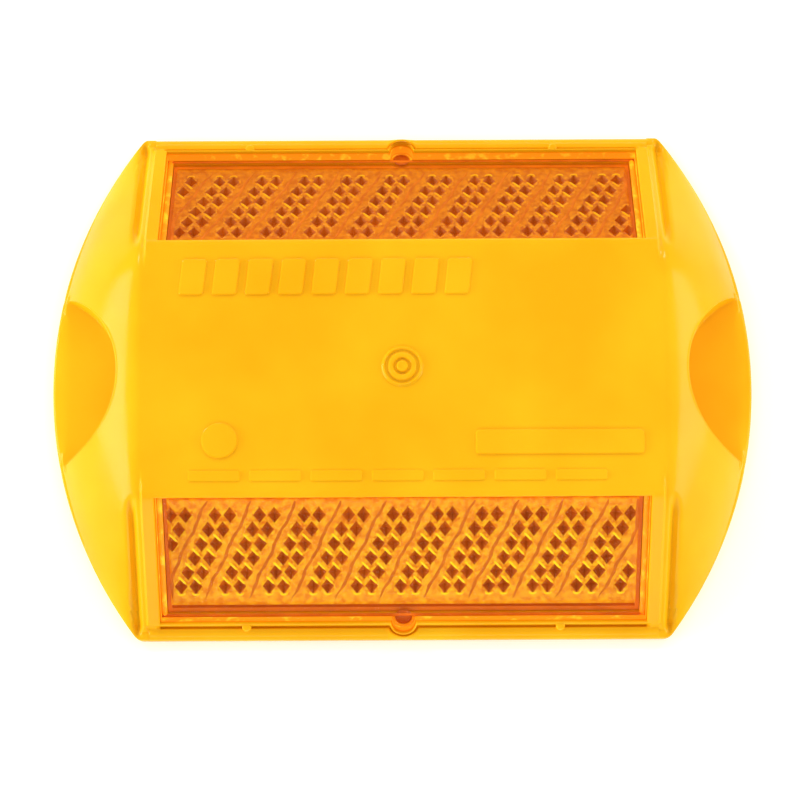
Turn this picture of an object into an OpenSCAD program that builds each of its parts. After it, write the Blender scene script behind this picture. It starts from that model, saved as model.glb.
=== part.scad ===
// Raised pavement marker: a one-piece moulded body with curved, finger-gripped ends, and a
// reflector unit welded into each of its two sloping faces. X runs along the long side,
// -Y is the front lens, +Z is up, and the origin is the middle of the underside.

/* [Body] */
// Width across the two curved ends
body_w = 119; // [116:0.5:124]
// Depth between the two straight edges
body_d = 87; // [86:0.5:92]
// Height of the flat top above the road
body_h = 17.6; // [17.2:0.1:19]
// Depth of the flat top, front to back
top_d = 42.8; // [41:0.2:43]
// Radius of the curved ends, seen from above
end_r = 70.5; // [66:0.5:80]
// Height of the thin edge at the foot of the curved ends
edge_h = 2.2; // [1.8:0.1:2.4]
// Wall left between the lightening pockets underneath
rib_t = 2; // [1.5:0.1:3]

/* [Finger grips] */
// Radius of the scoop, seen from above
grip_r = 15.3; // [12:0.1:16]
// Distance from the scoop's inner edge to the middle of the marker
grip_x = 47.4; // [46:0.1:49]
// Height of the scoop's floor at its inner edge
grip_z = 4.8; // [4:0.1:8]

/* [Reflector units] */
// Slope of the lens faces from level
slope = 35; // [34:0.5:36]
// Width of a lens
lens_w = 81; // [76:0.2:81]
// Length of a lens down the slope
lens_l = 23.2; // [22.8:0.1:23.3]
// Thickness of a lens plate
lens_t = 1.5; // [1.3:0.1:1.6]
// Depth of the lens face below its surround
reveal = 0.5; // [0.3:0.1:0.8]
// Spacing of the cube-corner prisms along a row
prism_p = 2.44; // [2.3:0.02:2.6]
// Rows of prisms down a lens
prism_rows = 6; // [4:1:6]

/* [Hidden] */
body_yellow = [0.98, 0.74, 0.10];
lens_amber = [0.95, 0.50, 0.08, 0.7];
frame_yellow = [0.90, 0.62, 0.12];
weld_amber = [0.98, 0.62, 0.12];

fit = 0.1;                       // gap round a lens in its seat
cheek = 1.9;                     // surround left at each side of a seat
seat_w = lens_w + 2 * fit;
seat_l = lens_l + 2 * fit;
seat_y = -0.4;                   // top of the seat, down the slope from the top's edge
top_y = top_d / 2;
side_x = seat_w / 2 + cheek;     // where the straight middle gives way to the curved ends

bead_t = 0.3;                    // weld bead, between the lens and its ledge
bead_w = 0.7;
lens_back = -reveal - lens_t;    // levels below the face of the surround
ledge = lens_back - bead_t;
ledge_w = 1.1;                   // ledge at the top and sides of a seat
sill_w = 2.4;                    // ledge at its lower end, where the body is thin
frame_floor_t = 0.65;
cell_depth = 1.95;               // air space behind the lens, for the prisms
frame_back = lens_back - cell_depth - frame_floor_t;
frame_w = seat_w - 2 * ledge_w - 2 * fit;
frame_l = seat_l - ledge_w - sill_w - 2 * fit;
wall_t = 0.7;

tab_r = 1.95;                    // gate tab on a lens's lower edge
lug_r = 2.9;                     // boss of the surround that holds the tab
nib_r = 0.8;
nib_x = 26.2;

// Lip at the foot of a lens face: rim, small step, rounded edge
rim_s = seat_y - seat_l - 0.3;   // a thin bar below the lens, then a step down to the lip
rim_y = top_y - rim_s * cos(slope);
rim_z = body_h + rim_s * sin(slope);
step_y = rim_y + 0.7;
step_z = edge_h + 0.1;
foot_z = 1.2;

ridge = 0.5;                     // the surround's shoulder, where a curved end starts lower
grip_lip = 1.4;                  // the scoop's floor above the thin edge, at the outline

// Hollows underneath: a grid of square pockets, and one at each corner
pocket_pitch = 11.6;
skin = 3.2;                      // solid left below the flat top
roof_gap = 1.4;                  // solid left round the back of a seat
eave_z = 1.1;
corner_pocket = [6, 10, 8];
corner_pocket_y = 21;

// Raised marks and the boss at the middle of the flat top
sink = 0.2;                      // how far they start below the top's surface
mark_h = 0.35;
bar_w = 4;
bar_l = 6;
boss_r = 2.8;
boss_h = 0.4;
nub_r = 1.05;
nub_h = 0.6;

// Prisms: cubes that stand on a corner, tipped so that light from a car comes straight back
index = 1.49;
tip = asin(cos(slope) / index);
prism_q = prism_p * sqrt(3) / 2 / cos(tip);
prism_a = 0.97 * prism_p / sqrt(2);
prism_x = 3.13;                  // where a cell wall crosses the first row
prism_y = -4.3;
apex = lens_back - 1.75;
cell_lean = atan(prism_p / 2 / prism_q);

function mix(a, b, t) = a + (b - a) * t;
// The lower of two heights, rounded over where they are within k of each other
function soft_min(a, b, k) = min(a, b) - pow(max(k - abs(a - b), 0), 2) / k / 4;
function soft_max(a, b, k) = -soft_min(-a, -b, k);

// Half width of the outline at depth y, with rounded corners
corner_r = 2;
corner_y = body_d / 2 - corner_r;
arc_x = body_w / 2 - end_r;
corner_x = arc_x + sqrt(pow(end_r - corner_r, 2) - corner_y * corner_y);
meet_y = corner_y * end_r / (end_r - corner_r);
function out_x(y) = abs(y) <= meet_y ? arc_x + sqrt(end_r * end_r - y * y)
    : corner_x + sqrt(max(0, corner_r * corner_r - pow(abs(y) - corner_y, 2)));

// Height of the straight middle at depth y
function lip_z(y) = foot_z + (step_z - foot_z)
    * sqrt(max(0, 1 - pow(max(0, y - step_y) / (body_d / 2 - step_y), 2)));
function mid_z(y) = abs(y) <= top_y ? body_h
    : abs(y) <= rim_y ? body_h - (abs(y) - top_y) * tan(slope)
    : lip_z(abs(y));

// Height of a curved end: it leaves the middle a little lower than the lens surround and
// falls at an even slope, then faster near the outline
function side_z(y) = soft_max(soft_min(body_h, body_h - (abs(y) - top_y + 0.9) * tan(slope), 3),
                              edge_h, 1.5);
function fall(u) = let (e = 0.12, a = 0.72)
    a * (sqrt(u * u + e * e) - e) / (sqrt(1 + e * e) - e) + (1 - a) * pow(u, 5);
function end_z(u, y) = edge_h + (side_z(y) - edge_h) * (1 - fall(u));

// Depths at which the blank is drawn, closer together where it bends
half_rows = concat([for (y = [0:3.5:14]) y], [for (y = [16.5:1.5:21]) y],
    [top_y], [for (i = [1:9]) mix(top_y, rim_y, i / 10)], [rim_y, rim_y + 0.12, step_y],
    [for (a = [20:14:90]) step_y + (body_d / 2 - step_y) * sin(a)], [body_d / 2]);
rows = concat([for (i = [len(half_rows) - 1:-1:1]) -half_rows[i]], half_rows);
end_cols = [for (i = [0:9]) pow(i / 9, 0.85)];

function far_x(y) = max(out_x(y), side_x + ridge + 0.3);
function half_line(y) = concat([[side_x, y, mid_z(y)]],
    [for (u = end_cols) [mix(side_x + ridge, far_x(y), u), y, end_z(u, y)]]);
function flip(line) = [for (i = [len(line) - 1:-1:0]) [-line[i][0], line[i][1], line[i][2]]];

module blank() {
    lines = [for (y = rows) concat(flip(half_line(y)), half_line(y))];
    n = len(lines[0]);
    m = len(lines);
    top = [for (l = lines) each l];
    under = [for (p = top) [p[0], p[1], 0]];
    faces = concat(
        [for (j = [0:m - 2], i = [0:n - 2]) each
            let (a = j * n + i) [[a, a + n, a + 1], [a + 1, a + n, a + n + 1]]],
        [for (j = [0:m - 2], i = [0:n - 2]) each
            let (a = m * n + j * n + i) [[a, a + 1, a + n], [a + 1, a + n + 1, a + n]]],
        [for (i = [0:n - 2]) [i, i + 1, m * n + i + 1, m * n + i]],
        [for (i = [0:n - 2]) let (a = (m - 1) * n + i) [a + 1, a, m * n + a, m * n + a + 1]],
        [for (j = [0:m - 2]) let (a = j * n) [a + n, a, m * n + a, m * n + a + n]],
        [for (j = [0:m - 2]) let (a = j * n + n - 1) [a, a + n, m * n + a + n, m * n + a]]);
    polyhedron(concat(top, under), faces);
}

// Places its children on the front face: x across, y up the slope, z out of the surround
module on_face() translate([0, -top_y, body_h]) rotate([slope, 0, 0]) children();
module rear() rotate([0, 0, 180]) children();

// A flat box between two levels, from y1 up the slope for a length
module slab(w, y_top, l, z_low, z_high)
    translate([-w / 2, y_top - l, z_low]) cube([w, l, z_high - z_low]);

module seat() {
    slab(seat_w, seat_y, seat_l, ledge, 3);
    slab(seat_w - 2 * ledge_w, seat_y - ledge_w, seat_l - ledge_w - sill_w, frame_back, 0);
    translate([0, seat_y - seat_l, ledge]) cylinder(r = tab_r + fit, h = 3 - ledge, $fn = 48);
}

// Scoop for a finger: an upright round wall over a floor that falls gently to the outline
module grip() {
    tilt = atan((grip_z - edge_h - grip_lip) / (body_w / 2 - grip_x));
    intersection() {
        translate([grip_x + grip_r, 0, edge_h]) cylinder(r = grip_r, h = body_h, $fn = 96);
        translate([grip_x, 0, grip_z]) rotate([0, tilt, 0])
            translate([-5, -grip_r - 1, 0]) cube([35, 2 * grip_r + 2, body_h]);
    }
}

// Half of the pockets' ceiling, which follows the underside of the seats
function half_roof() = let (
    y0 = top_y - (seat_y - ledge_w) * cos(slope) + frame_back * sin(slope) - roof_gap,
    z0 = body_h + (seat_y - ledge_w) * sin(slope) + frame_back * cos(slope) - roof_gap + 0.2,
    y1 = y0 + (z0 - eave_z) / tan(slope))
    [[y0 - 1.5, body_h - skin], [y0, z0], [y1, eave_z], [y1, -1]];

module pockets() {
    p = pocket_pitch - rib_t;
    right = half_roof();
    left = [for (i = [3:-1:0]) [-right[i][0], right[i][1]]];
    intersection() {
        rotate([90, 0, 90]) linear_extrude(2 * side_x, center = true) polygon(concat(left, right));
        union() for (i = [-3:3], j = [-2:2])
            translate([i * pocket_pitch - p / 2, j * pocket_pitch - p / 2, -1]) cube([p, p, body_h]);
    }
    for (sx = [-1, 1], sy = [-1, 1])
        translate([sx * (side_x + 2.9), sy * corner_pocket_y, corner_pocket[2] / 2 - 1])
            cube(corner_pocket, center = true);
}

// Raised marks, with no lettering: slanted bars, a blank plate, a round mould insert and dashes
module bar(w, l, lean) linear_extrude(mark_h + sink)
    polygon([[0, 0], [w, 0], [w + lean, l], [lean, l]]);
module marks() translate([0, 0, body_h - sink]) {
    for (i = [0:8]) translate([-37 + i * (bar_w + 1.5), 12.2, 0]) bar(bar_w, bar_l, 0.7);
    translate([12, -14.7, 0]) bar(27.5, 4, 0);
    translate([-30, -12.3, 0]) cylinder(r = 2.9, h = mark_h + sink, $fn = 48);
    for (i = [0:6]) translate([-35 + i * 10, -19, 0]) bar(8.4, 1.7, 0);
}

module gate() translate([0, 0, body_h - sink]) {
    cylinder(r = boss_r, h = boss_h + sink, $fn = 64);
    cylinder(r = nub_r, h = nub_h + sink, $fn = 48);
}

// Boss round a gate tab, and the two nibs that steady a lens while it is welded
module lip_details() on_face() {
    translate([0, seat_y - seat_l, ledge]) cylinder(r = lug_r, h = -ledge, $fn = 64);
    for (x = [-nib_x, nib_x]) translate([x, seat_y - seat_l - 0.9, lens_back])
        cylinder(r = nib_r, h = -lens_back, $fn = 32);
}

module body() color(body_yellow) difference() {
    union() {
        blank();
        lip_details();
        rear() lip_details();
        marks();
        gate();
    }
    on_face() seat();
    rear() on_face() seat();
    grip();
    rear() grip();
    pockets();
}

// One prism: a cube standing on its corner at the origin, its diagonal tipped down the slope
module prism() rotate([tip + atan(sqrt(2)), 0, 0]) rotate([0, 0, 45]) cube(prism_a);

function row_x(j, m) = prism_x + m * prism_p - j * prism_p / 2;

module lens() color(lens_amber) on_face() union() {
    slab(lens_w, seat_y - fit, lens_l, lens_back, -reveal);
    translate([0, seat_y - fit - lens_l, lens_back]) cylinder(r = tab_r, h = lens_t, $fn = 48);
    for (j = [0:prism_rows - 1], m = [-20:20])
        if (m % 3 != 0 && abs(row_x(j, m)) < frame_w / 2 - wall_t - prism_p / 2)
            translate([row_x(j, m), prism_y - j * prism_q, apex]) prism();
}

// Floor of the lens pocket's tray, its rim, and the leaning walls that the lens is welded to
module tray_area(inset) translate([0, seat_y - ledge_w - fit - frame_l / 2])
    square([frame_w - 2 * inset, frame_l - 2 * inset], center = true);
module cell_frame() color(frame_yellow) on_face() translate([0, 0, frame_back]) {
    linear_extrude(frame_floor_t) tray_area(0);
    linear_extrude(lens_back - frame_back) {
        difference() {
            tray_area(0);
            tray_area(wall_t);
        }
        intersection() {
            tray_area(wall_t / 2);
            for (k = [-6:6]) translate([row_x(0, 3 * k), prism_y]) rotate(-cell_lean)
                square([wall_t, 3 * frame_l], center = true);
        }
    }
}

module weld_bead() color(weld_amber) on_face() difference() {
    slab(seat_w - 0.4, seat_y - 0.2, seat_l - 0.4, ledge, lens_back);
    slab(seat_w - 0.4 - 2 * bead_w, seat_y - 0.2 - bead_w, seat_l - 0.4 - 2 * bead_w, ledge - 1, 1);
}

body();
lens();  // front_lens
rear() lens();  // rear_lens
cell_frame();  // front_cell_frame
rear() cell_frame();  // rear_cell_frame
weld_bead();  // front_weld_bead
rear() weld_bead();  // rear_weld_bead
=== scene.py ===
import math
import bpy
import bmesh
import numpy as np
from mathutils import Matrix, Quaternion, Vector


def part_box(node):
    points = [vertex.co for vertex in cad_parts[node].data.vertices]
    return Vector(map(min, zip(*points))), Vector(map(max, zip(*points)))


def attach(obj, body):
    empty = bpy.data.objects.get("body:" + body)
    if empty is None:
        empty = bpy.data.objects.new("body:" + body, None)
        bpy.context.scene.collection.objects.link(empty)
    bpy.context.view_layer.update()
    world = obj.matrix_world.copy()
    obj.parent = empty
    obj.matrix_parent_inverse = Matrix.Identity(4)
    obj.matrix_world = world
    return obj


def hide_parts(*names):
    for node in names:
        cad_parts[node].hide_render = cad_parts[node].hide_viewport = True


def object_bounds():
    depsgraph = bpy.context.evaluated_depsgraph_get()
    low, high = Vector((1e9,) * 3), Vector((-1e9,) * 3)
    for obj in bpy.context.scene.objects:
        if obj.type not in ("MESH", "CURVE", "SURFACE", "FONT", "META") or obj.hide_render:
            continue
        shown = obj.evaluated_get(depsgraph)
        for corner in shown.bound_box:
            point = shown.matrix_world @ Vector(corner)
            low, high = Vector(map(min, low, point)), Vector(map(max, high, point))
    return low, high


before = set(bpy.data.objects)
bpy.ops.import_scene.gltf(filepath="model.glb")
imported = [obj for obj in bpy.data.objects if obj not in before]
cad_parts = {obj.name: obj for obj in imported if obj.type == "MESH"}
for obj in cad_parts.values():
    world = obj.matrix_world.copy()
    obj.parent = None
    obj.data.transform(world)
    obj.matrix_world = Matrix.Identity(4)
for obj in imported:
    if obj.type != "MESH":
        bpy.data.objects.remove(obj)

cadLow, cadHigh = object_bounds()
mm = 0.001

# shared measures, in millimetres
bodyHigh = np.array(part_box("body")[1]) / mm
lensHigh = np.array(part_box("front_lens")[1]) / mm
print("frame read, body's high corner", bodyHigh)

shape = {
    "bossHeight": 0.6,        # nub of the centre boss above the flat top
    "flatHalf": 21.4,         # half depth of the flat top
    "slope": 35.0,            # lens faces, degrees from level
    "endRadius": 70.5,        # curved ends, seen from above
    "cornerRadius": 2.0,
    "edgeHeight": 2.2,        # foot of the curved ends
    "cheek": 1.9,             # surround beside a lens
    "seatGap": 0.1,           # between a lens and its seat
    "seatStart": 0.4,         # down the slope, from the flat top's edge to the seat
    "seatLength": 23.4,
    "ridge": 0.5,             # shoulder between the surround and a curved end
    "gripRadius": 15.3,
    "gripInner": 47.4,
    "gripFloor": 4.8,
    "gripLip": 1.4,           # scoop floor above the end's thin edge, at the outline
    "lensThickness": 1.5,
    "reveal": 0.5,            # lens face below its surround
}
halfWide = bodyHigh[0]
halfDeep = bodyHigh[1]
topZ = bodyHigh[2] - shape["bossHeight"]
flatHalf = shape["flatHalf"]
sinS, cosS = math.sin(math.radians(shape["slope"])), math.cos(math.radians(shape["slope"]))
tanS = sinS / cosS
seatHalf = lensHigh[0] + shape["seatGap"]
sideX = seatHalf + shape["cheek"]
shoulderX = sideX + shape["ridge"]
seatTop = shape["seatStart"]
seatEnd = seatTop + shape["seatLength"]
lensBack = -shape["reveal"] - shape["lensThickness"]


def turnOut(work):
    # every face outwards: made consistent first, then turned as a whole where the volume comes out negative
    bmesh.ops.recalc_face_normals(work, faces=work.faces)
    if work.calc_volume(signed=True) < 0:
        bmesh.ops.reverse_faces(work, faces=work.faces)


def meshObject(name, points, faces, materials, faceMaterials=None, sharpAngle=40, closed=True, cuts=()):
    # points in millimetres; faces as index lists; coincident points are merged and normals turned out;
    # each cut is a point on a plane and its outward direction, and what lies beyond it is dropped
    mesh = bpy.data.meshes.new(name)
    mesh.from_pydata((np.asarray(points, float) * mm).tolist(), [], [list(map(int, f)) for f in faces])
    for m in materials:
        mesh.materials.append(m)
    if faceMaterials is not None:
        mesh.polygons.foreach_set("material_index", np.asarray(faceMaterials, np.int32))
    work = bmesh.new()
    work.from_mesh(mesh)
    bmesh.ops.remove_doubles(work, verts=work.verts, dist=2e-6)
    bmesh.ops.dissolve_degenerate(work, edges=work.edges, dist=1e-7)
    for place, outward in cuts:
        bmesh.ops.bisect_plane(work, geom=work.verts[:] + work.edges[:] + work.faces[:], dist=1e-7,
                               plane_co=Vector(place) * mm, plane_no=Vector(outward), clear_outer=True)
    if closed:
        turnOut(work)
    work.to_mesh(mesh)
    work.free()
    mesh.shade_smooth()
    mesh.set_sharp_from_angle(angle=math.radians(sharpAngle))
    obj = bpy.data.objects.new(name, mesh)
    bpy.context.collection.objects.link(obj)
    return obj


def gridFaces(rows, cols, start=0, closedCols=False):
    # quads between neighbouring points of a rows by cols grid
    j = np.arange(rows - 1)[:, None]
    i = np.arange(cols if closedCols else cols - 1)[None, :]
    n = (i + 1) % cols
    a = start + j * cols + i
    b = start + j * cols + n
    return np.stack([a, b, b + cols, a + cols], -1).reshape(-1, 4)


def smooth(t):
    t = np.clip(t, 0, 1)
    return t * t * (3 - 2 * t)


def softMin(a, b, k):
    return np.minimum(a, b) - np.maximum(k - np.abs(a - b), 0) ** 2 / k / 4


def onFace(x, s, d, rear=False):
    # x across, s down the slope from the flat top's edge, d out of the surround's face
    x, s, d = np.broadcast_arrays(np.asarray(x, float), np.asarray(s, float), np.asarray(d, float))
    y = -(flatHalf + s * cosS) - d * sinS
    z = topZ - s * sinS + d * cosS
    p = np.stack([x, y, z], -1)
    return p * [-1, -1, 1] if rear else p


def newMaterial(name):
    material = bpy.data.materials.new(name)
    material.use_nodes = True
    nodes = material.node_tree.nodes
    return material, nodes, material.node_tree.links, nodes["Principled BSDF"]


def mottled(nodes, links, coordinates, scale, detail, colours, spread=(0.35, 0.65)):
    # a colour that drifts between two tones with a soft noise
    noise = nodes.new("ShaderNodeTexNoise")
    noise.inputs["Scale"].default_value = scale
    noise.inputs["Detail"].default_value = detail
    ramp = nodes.new("ShaderNodeValToRGB")
    ramp.color_ramp.elements[0].position = spread[0]
    ramp.color_ramp.elements[1].position = spread[1]
    ramp.color_ramp.elements[0].color = colours[0]
    ramp.color_ramp.elements[1].color = colours[1]
    links.new(coordinates.outputs["Object"], noise.inputs["Vector"])
    links.new(noise.outputs["Fac"], ramp.inputs["Fac"])
    return ramp


plastic = {
    "deep": (0.90, 0.425, 0.004, 1), "light": (0.955, 0.50, 0.008, 1),
    "roughness": 0.16, "smoother": 0.05, "rougher": 0.08, "wearScale": 160, "specular": 0.10,
    "skinScale": 1400.0, "skinBump": 0.05, "flowScale": 45.0, "scatter": 0.08,
}


def bodyPlastic():
    material, nodes, links, shader = newMaterial("bodyPlastic")
    coordinates = nodes.new("ShaderNodeTexCoord")
    tone = mottled(nodes, links, coordinates, plastic["flowScale"], 3, [plastic["deep"], plastic["light"]])
    links.new(tone.outputs["Color"], shader.inputs["Base Color"])
    wear = nodes.new("ShaderNodeTexNoise")
    wear.inputs["Scale"].default_value = plastic["wearScale"]
    wear.inputs["Detail"].default_value = 4
    links.new(coordinates.outputs["Object"], wear.inputs["Vector"])
    rough = nodes.new("ShaderNodeMapRange")
    rough.inputs["From Min"].default_value = 0.3
    rough.inputs["From Max"].default_value = 0.7
    rough.inputs["To Min"].default_value = plastic["roughness"] - plastic["smoother"]
    rough.inputs["To Max"].default_value = plastic["roughness"] + plastic["rougher"]
    links.new(wear.outputs["Fac"], rough.inputs["Value"])
    links.new(rough.outputs["Result"], shader.inputs["Roughness"])
    skin = nodes.new("ShaderNodeTexNoise")
    skin.inputs["Scale"].default_value = plastic["skinScale"]
    skin.inputs["Detail"].default_value = 2
    bump = nodes.new("ShaderNodeBump")
    bump.inputs["Strength"].default_value = plastic["skinBump"]
    bump.inputs["Distance"].default_value = 0.0003
    links.new(coordinates.outputs["Object"], skin.inputs["Vector"])
    links.new(skin.outputs["Fac"], bump.inputs["Height"])
    links.new(bump.outputs["Normal"], shader.inputs["Normal"])
    shader.inputs["Specular IOR Level"].default_value = plastic["specular"]
    shader.inputs["Subsurface Weight"].default_value = plastic["scatter"]
    shader.inputs["Subsurface Radius"].default_value = (0.004, 0.002, 0.0004)
    shader.inputs["Subsurface Scale"].default_value = 0.5
    return material


def amber(name, tones, roughness, scale=260.0, bumpStrength=0.12, spread=(0.3, 0.7), glow=0.0):
    # coloured acrylic as it looks in front of air or of the body, with soft blotches; glow is painted light,
    # an emission that stands for the light that reaches it sideways through the plate
    material, nodes, links, shader = newMaterial(name)
    coordinates = nodes.new("ShaderNodeTexCoord")
    tone = mottled(nodes, links, coordinates, scale, 3, tones, spread)
    links.new(tone.outputs["Color"], shader.inputs["Base Color"])
    shader.inputs["Emission Color"].default_value = tones[0]
    shader.inputs["Emission Strength"].default_value = glow
    shader.inputs["Roughness"].default_value = roughness
    shader.inputs["Specular IOR Level"].default_value = 0.15
    ripple = nodes.new("ShaderNodeTexNoise")
    ripple.inputs["Scale"].default_value = scale * 3
    bump = nodes.new("ShaderNodeBump")
    bump.inputs["Strength"].default_value = bumpStrength
    bump.inputs["Distance"].default_value = 0.0003
    links.new(coordinates.outputs["Object"], ripple.inputs["Vector"])
    links.new(ripple.outputs["Fac"], bump.inputs["Height"])
    links.new(bump.outputs["Normal"], shader.inputs["Normal"])
    return material


plate = {
    "tint": (1.0, 0.963, 0.861, 1), "mirrored": (0.75, 0.22, 0.01, 1), "roughness": 0.06,
    "leastGloss": 0.015, "edgeGloss": 0.35, "rippleScale": 90, "rippleBump": 0.08,
}


def lensAcrylic():
    # clear amber: what is behind shows through the tint, and the face mirrors more as it turns away
    material, nodes, links, shader = newMaterial("lensAcrylic")
    output = nodes["Material Output"]
    through = nodes.new("ShaderNodeBsdfTransparent")
    through.inputs["Color"].default_value = plate["tint"]
    shader.inputs["Base Color"].default_value = plate["mirrored"]
    shader.inputs["Roughness"].default_value = plate["roughness"]
    shader.inputs["Specular IOR Level"].default_value = 1.0
    coordinates = nodes.new("ShaderNodeTexCoord")
    ripple = nodes.new("ShaderNodeTexNoise")
    ripple.inputs["Scale"].default_value = plate["rippleScale"]
    bump = nodes.new("ShaderNodeBump")
    bump.inputs["Strength"].default_value = plate["rippleBump"]
    bump.inputs["Distance"].default_value = 0.0005
    turn = nodes.new("ShaderNodeLayerWeight")
    turn.inputs["Blend"].default_value = 0.5
    steep = nodes.new("ShaderNodeMath")
    steep.operation = "POWER"
    steep.inputs[1].default_value = 4.0
    share = nodes.new("ShaderNodeMath")
    share.operation = "MULTIPLY_ADD"
    share.inputs[1].default_value = plate["edgeGloss"]
    share.inputs[2].default_value = plate["leastGloss"]
    mix = nodes.new("ShaderNodeMixShader")
    links.new(coordinates.outputs["Object"], ripple.inputs["Vector"])
    links.new(ripple.outputs["Fac"], bump.inputs["Height"])
    links.new(bump.outputs["Normal"], shader.inputs["Normal"])
    links.new(turn.outputs["Facing"], steep.inputs[0])
    links.new(steep.outputs["Value"], share.inputs[0])
    links.new(share.outputs["Value"], mix.inputs["Fac"])
    links.new(through.outputs["BSDF"], mix.inputs[1])
    links.new(shader.outputs["BSDF"], mix.inputs[2])
    links.new(mix.outputs["Shader"], output.inputs["Surface"])
    return material


body = bodyPlastic()
acrylic = lensAcrylic()
amberFinish = {
    # sunk facet, lattice, plain band and painted glint of each lens, then what lies round them
    # the sunk facets' dark tone is painted reflection: the deep corners send back the dark surroundings
    "frontPit": {"tones": [(0.44, 0.075, 0.006, 1), (0.66, 0.15, 0.010, 1)], "roughness": 0.3,
                 "scale": 420.0},
    "frontLattice": {"tones": [(0.80, 0.23, 0.008, 1), (1.0, 0.62, 0.018, 1)], "roughness": 0.3,
                     "scale": 1300.0, "bumpStrength": 0.05, "spread": (0.36, 0.64)},
    "frontBand": {"tones": [(0.86, 0.28, 0.009, 1), (1.0, 0.54, 0.015, 1)], "roughness": 0.3,
                  "scale": 900.0, "bumpStrength": 0.05, "spread": (0.36, 0.64)},
    # painted highlight: bright yellow with a little glow, for the glints that the prisms send back
    "frontPaintedGlint": {"tones": [(1.0, 0.72, 0.01, 1), (1.0, 0.88, 0.02, 1)], "roughness": 0.2, "glow": 0.1},
    # the rear lens's lattice, band and glints are painted darker than the front's, as painted shade: the two
    # lenses are the same moulding
    "rearPit": {"tones": [(0.46, 0.085, 0.006, 1), (0.62, 0.145, 0.009, 1)], "roughness": 0.3,
                "scale": 420.0},
    "rearLattice": {"tones": [(0.56, 0.13, 0.006, 1), (0.84, 0.34, 0.010, 1)], "roughness": 0.3,
                    "scale": 1300.0, "bumpStrength": 0.05, "spread": (0.36, 0.64)},
    "rearBand": {"tones": [(0.60, 0.15, 0.006, 1), (0.76, 0.26, 0.008, 1)], "roughness": 0.3,
                 "scale": 900.0, "bumpStrength": 0.05, "spread": (0.36, 0.64)},
    "rearPaintedGlint": {"tones": [(0.90, 0.38, 0.01, 1), (1.0, 0.58, 0.02, 1)], "roughness": 0.2},
    # the glow given below to gutter, weld, tray and plate wall is painted light, standing for light that
    # reaches them sideways through the plate
    "ribAmber": {"tones": [(0.58, 0.13, 0.008, 1), (0.78, 0.22, 0.012, 1)], "roughness": 0.35,
                 "scale": 500.0},
    # gutterAmber is darker than the weld: painted shade of the deep gutter
    "gutterAmber": {"tones": [(0.58, 0.125, 0.006, 1), (0.76, 0.20, 0.010, 1)], "roughness": 0.35,
                    "scale": 300.0, "glow": 0.28},
    "weldAmber": {"tones": [(0.97, 0.36, 0.012, 1), (1.0, 0.80, 0.05, 1)], "roughness": 0.25,
                  "scale": 420.0, "bumpStrength": 0.3, "spread": (0.5, 0.68), "glow": 0.3},
    "trayPlastic": {"tones": [(0.56, 0.12, 0.005, 1), (0.72, 0.19, 0.007, 1)], "roughness": 0.35,
                    "glow": 0.3},
    "plateWall": {"tones": [(0.97, 0.38, 0.012, 1), (1.0, 0.82, 0.05, 1)], "roughness": 0.4,
                  "scale": 520.0, "spread": (0.55, 0.66), "glow": 0.4},
}
ambers = {name: amber(name, **finish) for name, finish in amberFinish.items()}
print("materials made")


bodyDetail = {
    "seatFillet": 0.2, "ledgeDepth": 2.3, "ledgeWidth": 1.1, "sillWidth": 0.75, "trayDepth": 4.6,
    "notchRadius": 2.05, "rimBar": 0.15, "lipLevel": 2.55, "lipFoot": 1.2,
    "gripFillet": 0.3, "gripFoot": 0.35, "edgeRound": 0.55, "footInset": 0.12,
    "valley": 1.35, "valleyWide": 0.62, "valleyAt": 1.4, "crestRound": 0.6,
}


def outlineX(y):
    # half width at depth y: an arc, then the rounded corner that is tangent to it
    y = np.abs(y)
    r, c = shape["endRadius"], shape["cornerRadius"]
    arcX, cornerY = halfWide - r, halfDeep - c
    cornerX = arcX + math.sqrt((r - c) ** 2 - cornerY ** 2)
    meetY = cornerY * r / (r - c)
    arc = arcX + np.sqrt(r * r - np.minimum(y, meetY) ** 2)
    corner = cornerX + np.sqrt(np.maximum(0, c * c - np.maximum(0, y - cornerY) ** 2))
    return np.where(y <= meetY, arc, corner)


def crestDrop(y):
    # how much the rounded edge of the flat top lies below the sharp one
    k = bodyDetail["crestRound"]
    return np.maximum(k - np.abs(np.abs(y) - flatHalf) * tanS, 0) ** 2 / k / 4


def facePlane(y):
    return topZ - np.maximum(np.abs(y) - flatHalf, 0) * tanS - crestDrop(y)


def endZ(x, y):
    # curved end: level with the flat top, then an even fall that steepens towards the outline
    low = shape["edgeHeight"]
    side = softMin(topZ, topZ - (np.abs(y) - flatHalf + 0.9) * tanS, 3.0)
    side = -softMin(-side, -low, 1.5)
    u = np.clip((np.abs(x) - shoulderX) / np.maximum(outlineX(y) - shoulderX, 0.3), 0, 1)
    e, share = 0.12, 0.72
    fall = share * (np.sqrt(u * u + e * e) - e) / (math.sqrt(1 + e * e) - e) + (1 - share) * u ** 5
    # a crease runs beside the shoulder, fading out on the flat top and at the lip
    valley = bodyDetail["valley"] * smooth((np.abs(y) - flatHalf + 1) / 4)
    valley = valley * smooth((halfDeep - np.abs(y)) / 3)
    gap = (np.abs(x) - shoulderX - bodyDetail["valleyAt"]) / bodyDetail["valleyWide"]
    return low + (side - low) * (1 - fall) - valley * np.exp(-gap * gap)


def arcSteps(count):
    a = np.linspace(0, math.pi / 2, count)
    return np.sin(a), np.cos(a)


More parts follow.
